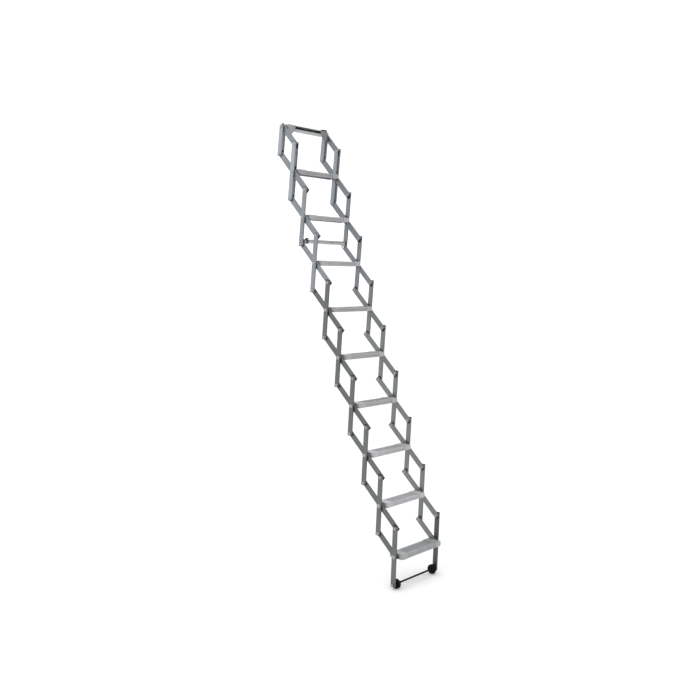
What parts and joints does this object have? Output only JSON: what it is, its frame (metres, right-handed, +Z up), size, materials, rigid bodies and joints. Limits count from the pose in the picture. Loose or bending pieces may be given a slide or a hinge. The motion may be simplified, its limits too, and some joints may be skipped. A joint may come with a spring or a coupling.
{
  "type": "attic ladder",
  "caption": "Concertina loft ladder: two lazy-tongs side lattices of riveted tube links carry level ribbed treads below a top rail, with small wheels at the foot.",
  "frame": {"origin": "middle of the top rail's back face, where the ladder is screwed to the hatch frame", "axes": "+Z up, +X along the treads to the ladder's right seen from the climber's side, +Y from the climber's side to the mounting face"},
  "size_m": [0.3682, 0.8968, 2.429],
  "materials": {
    "link": "mill finish, drawn tube",
    "tread": "ribbed extrusion",
    "rail": "dark grey",
    "bracket": "zinc plated",
    "tube": "drawn tube",
    "axle": "blackened",
    "wheel": "black"
  },
  "bodies": {
    "rail": {"top_rail": "rail", "left_top_bracket": "bracket", "right_top_bracket": "bracket", "pivot_shaft": "axle"},
    "upright_0": {"left_upright_link_0": "link", "right_upright_link_0": "link"},
    "diagonal_0": {"left_diagonal_link_0": "link", "right_diagonal_link_0": "link"},
    "upright_1": {"left_upright_link_1": "link", "right_upright_link_1": "link"},
    "diagonal_1": {"left_diagonal_link_1": "link", "right_diagonal_link_1": "link"},
    "tread_1": {"tread_1": "tread"},
    "upright_2": {"left_upright_link_2": "link", "right_upright_link_2": "link", "tie_bar": "tube"},
    "diagonal_2": {"left_diagonal_link_2": "link", "right_diagonal_link_2": "link"},
    "tread_2": {"tread_2": "tread"},
    "upright_3": {"left_upright_link_3": "link", "right_upright_link_3": "link"},
    "diagonal_3": {"left_diagonal_link_3": "link", "right_diagonal_link_3": "link"},
    "tread_3": {"tread_3": "tread"},
    "upright_4": {"left_upright_link_4": "link", "right_upright_link_4": "link"},
    "diagonal_4": {"left_diagonal_link_4": "link", "right_diagonal_link_4": "link"},
    "tread_4": {"tread_4": "tread"},
    "upright_5": {"left_upright_link_5": "link", "right_upright_link_5": "link"},
    "diagonal_5": {"left_diagonal_link_5": "link", "right_diagonal_link_5": "link"},
    "tread_5": {"tread_5": "tread"},
    "upright_6": {"left_upright_link_6": "link", "right_upright_link_6": "link"},
    "diagonal_6": {"left_diagonal_link_6": "link", "right_diagonal_link_6": "link"},
    "tread_6": {"tread_6": "tread"},
    "upright_7": {"left_upright_link_7": "link", "right_upright_link_7": "link"},
    "diagonal_7": {"left_diagonal_link_7": "link", "right_diagonal_link_7": "link"},
    "tread_7": {"tread_7": "tread"},
    "upright_8": {"left_upright_link_8": "link", "right_upright_link_8": "link"},
    "diagonal_8": {"left_diagonal_link_8": "link", "right_diagonal_link_8": "link"},
    "tread_8": {"tread_8": "tread"},
    "upright_9": {"left_upright_link_9": "link", "right_upright_link_9": "link", "foot_axle": "axle"},
    "diagonal_9": {"left_diagonal_link_9": "link", "right_diagonal_link_9": "link"},
    "tread_9": {"tread_9": "tread"},
    "left_wheel": {"left_wheel": "wheel"},
    "right_wheel": {"right_wheel": "wheel"}
  },
  "joints": [
    {"name": "fold", "type": "hinge", "parent": "rail", "child": "upright_0", "pos_m": [0, -0.033, 0], "axis": [1, 0, 0], "range_deg": [0, 53]},
    {"name": "top_crossing", "type": "hinge", "parent": "rail", "child": "diagonal_0", "pos_m": [0, -0.033, 0], "axis": [1, 0, 0], "range_deg": [-53.5, 0]},
    {"name": "rear_pivot_1", "type": "hinge", "parent": "upright_0", "child": "diagonal_1", "pos_m": [0, -0.01415, -0.1451], "axis": [1, 0, 0], "range_deg": [-107, 0]},
    {"name": "crossing_1", "type": "hinge", "parent": "diagonal_1", "child": "upright_1", "pos_m": [0, -0.11421, -0.25187], "axis": [1, 0, 0], "range_deg": [0, 107]},
    {"name": "tread_level_1", "type": "hinge", "parent": "upright_1", "child": "tread_1", "pos_m": [0, -0.11421, -0.25187], "axis": [1, 0, 0], "range_deg": [-58.2, 0]},
    {"name": "rear_pivot_2", "type": "hinge", "parent": "upright_1", "child": "diagonal_2", "pos_m": [0, -0.09673, -0.39714], "axis": [1, 0, 0], "range_deg": [-107, 0]},
    {"name": "crossing_2", "type": "hinge", "parent": "diagonal_2", "child": "upright_2", "pos_m": [0, -0.19778, -0.50296], "axis": [1, 0, 0], "range_deg": [0, 107]},
    {"name": "tread_level_2", "type": "hinge", "parent": "upright_2", "child": "tread_2", "pos_m": [0, -0.19778, -0.50296], "axis": [1, 0, 0], "range_deg": [-58.2, 0]},
    {"name": "rear_pivot_3", "type": "hinge", "parent": "upright_2", "child": "diagonal_3", "pos_m": [0, -0.18168, -0.6484], "axis": [1, 0, 0], "range_deg": [-107, 0]},
    {"name": "crossing_3", "type": "hinge", "parent": "diagonal_3", "child": "upright_3", "pos_m": [0, -0.28372, -0.75326], "axis": [1, 0, 0], "range_deg": [0, 107]},
    {"name": "tread_level_3", "type": "hinge", "parent": "upright_3", "child": "tread_3", "pos_m": [0, -0.28372, -0.75326], "axis": [1, 0, 0], "range_deg": [-58.2, 0]},
    {"name": "rear_pivot_4", "type": "hinge", "parent": "upright_3", "child": "diagonal_4", "pos_m": [0, -0.26899, -0.89884], "axis": [1, 0, 0], "range_deg": [-107, 0]},
    {"name": "crossing_4", "type": "hinge", "parent": "diagonal_4", "child": "upright_4", "pos_m": [0, -0.37202, -1.00273], "axis": [1, 0, 0], "range_deg": [0, 107]},
    {"name": "tread_level_4", "type": "hinge", "parent": "upright_4", "child": "tread_4", "pos_m": [0, -0.37202, -1.00273], "axis": [1, 0, 0], "range_deg": [-58.2, 0]},
    {"name": "rear_pivot_5", "type": "hinge", "parent": "upright_4", "child": "diagonal_5", "pos_m": [0, -0.35865, -1.14844], "axis": [1, 0, 0], "range_deg": [-107, 0]},
    {"name": "crossing_5", "type": "hinge", "parent": "diagonal_5", "child": "upright_5", "pos_m": [0, -0.46266, -1.25136], "axis": [1, 0, 0], "range_deg": [0, 107]},
    {"name": "tread_level_5", "type": "hinge", "parent": "upright_5", "child": "tread_5", "pos_m": [0, -0.46266, -1.25136], "axis": [1, 0, 0], "range_deg": [-58.2, 0]},
    {"name": "rear_pivot_6", "type": "hinge", "parent": "upright_5", "child": "diagonal_6", "pos_m": [0, -0.45067, -1.39719], "axis": [1, 0, 0], "range_deg": [-107, 0]},
    {"name": "crossing_6", "type": "hinge", "parent": "diagonal_6", "child": "upright_6", "pos_m": [0, -0.55564, -1.49913], "axis": [1, 0, 0], "range_deg": [0, 107]},
    {"name": "tread_level_6", "type": "hinge", "parent": "upright_6", "child": "tread_6", "pos_m": [0, -0.55564, -1.49913], "axis": [1, 0, 0], "range_deg": [-58.2, 0]},
    {"name": "rear_pivot_7", "type": "hinge", "parent": "upright_6", "child": "diagonal_7", "pos_m": [0, -0.54502, -1.64506], "axis": [1, 0, 0], "range_deg": [-107, 0]},
    {"name": "crossing_7", "type": "hinge", "parent": "diagonal_7", "child": "upright_7", "pos_m": [0, -0.65095, -1.74601], "axis": [1, 0, 0], "range_deg": [0, 107]},
    {"name": "tread_level_7", "type": "hinge", "parent": "upright_7", "child": "tread_7", "pos_m": [0, -0.65095, -1.74601], "axis": [1, 0, 0], "range_deg": [-58.2, 0]},
    {"name": "rear_pivot_8", "type": "hinge", "parent": "upright_7", "child": "diagonal_8", "pos_m": [0, -0.64171, -1.89204], "axis": [1, 0, 0], "range_deg": [-107, 0]},
    {"name": "crossing_8", "type": "hinge", "parent": "diagonal_8", "child": "upright_8", "pos_m": [0, -0.74858, -1.99198], "axis": [1, 0, 0], "range_deg": [0, 107]},
    {"name": "tread_level_8", "type": "hinge", "parent": "upright_8", "child": "tread_8", "pos_m": [0, -0.74858, -1.99198], "axis": [1, 0, 0], "range_deg": [-58.2, 0]},
    {"name": "rear_pivot_9", "type": "hinge", "parent": "upright_8", "child": "diagonal_9", "pos_m": [0, -0.74072, -2.13808], "axis": [1, 0, 0], "range_deg": [-107, 0]},
    {"name": "crossing_9", "type": "hinge", "parent": "diagonal_9", "child": "upright_9", "pos_m": [0, -0.84853, -2.23701], "axis": [1, 0, 0], "range_deg": [0, 107]},
    {"name": "tread_level_9", "type": "hinge", "parent": "upright_9", "child": "tread_9", "pos_m": [0, -0.84853, -2.23701], "axis": [1, 0, 0], "range_deg": [-58.2, 0]},
    {"name": "left_wheel_spin", "type": "hinge", "parent": "upright_9", "child": "left_wheel", "pos_m": [0, -0.84205, -2.38319], "axis": [1, 0, 0], "continuous": true},
    {"name": "right_wheel_spin", "type": "hinge", "parent": "upright_9", "child": "right_wheel", "pos_m": [0, -0.84205, -2.38319], "axis": [1, 0, 0], "continuous": true}
  ],
  "couplings": [
    {"joint": "top_crossing", "follows": "fold", "ratio": -1},
    {"joint": "rear_pivot_1", "follows": "fold", "ratio": -1.9908},
    {"joint": "crossing_1", "follows": "fold", "ratio": 2},
    {"joint": "tread_level_1", "follows": "fold", "ratio": -1.0092},
    {"joint": "rear_pivot_2", "follows": "fold", "ratio": -1.9908},
    {"joint": "crossing_2", "follows": "fold", "ratio": 2},
    {"joint": "tread_level_2", "follows": "fold", "ratio": -1.0184},
    {"joint": "rear_pivot_3", "follows": "fold", "ratio": -1.9908},
    {"joint": "crossing_3", "follows": "fold", "ratio": 2},
    {"joint": "tread_level_3", "follows": "fold", "ratio": -1.0275},
    {"joint": "rear_pivot_4", "follows": "fold", "ratio": -1.9908},
    {"joint": "crossing_4", "follows": "fold", "ratio": 2},
    {"joint": "tread_level_4", "follows": "fold", "ratio": -1.0367},
    {"joint": "rear_pivot_5", "follows": "fold", "ratio": -1.9908},
    {"joint": "crossing_5", "follows": "fold", "ratio": 2},
    {"joint": "tread_level_5", "follows": "fold", "ratio": -1.0459},
    {"joint": "rear_pivot_6", "follows": "fold", "ratio": -1.9908},
    {"joint": "crossing_6", "follows": "fold", "ratio": 2},
    {"joint": "tread_level_6", "follows": "fold", "ratio": -1.0551},
    {"joint": "rear_pivot_7", "follows": "fold", "ratio": -1.9908},
    {"joint": "crossing_7", "follows": "fold", "ratio": 2},
    {"joint": "tread_level_7", "follows": "fold", "ratio": -1.0643},
    {"joint": "rear_pivot_8", "follows": "fold", "ratio": -1.9908},
    {"joint": "crossing_8", "follows": "fold", "ratio": 2},
    {"joint": "tread_level_8", "follows": "fold", "ratio": -1.0734},
    {"joint": "rear_pivot_9", "follows": "fold", "ratio": -1.9908},
    {"joint": "crossing_9", "follows": "fold", "ratio": 2},
    {"joint": "tread_level_9", "follows": "fold", "ratio": -1.0826}
  ]
}
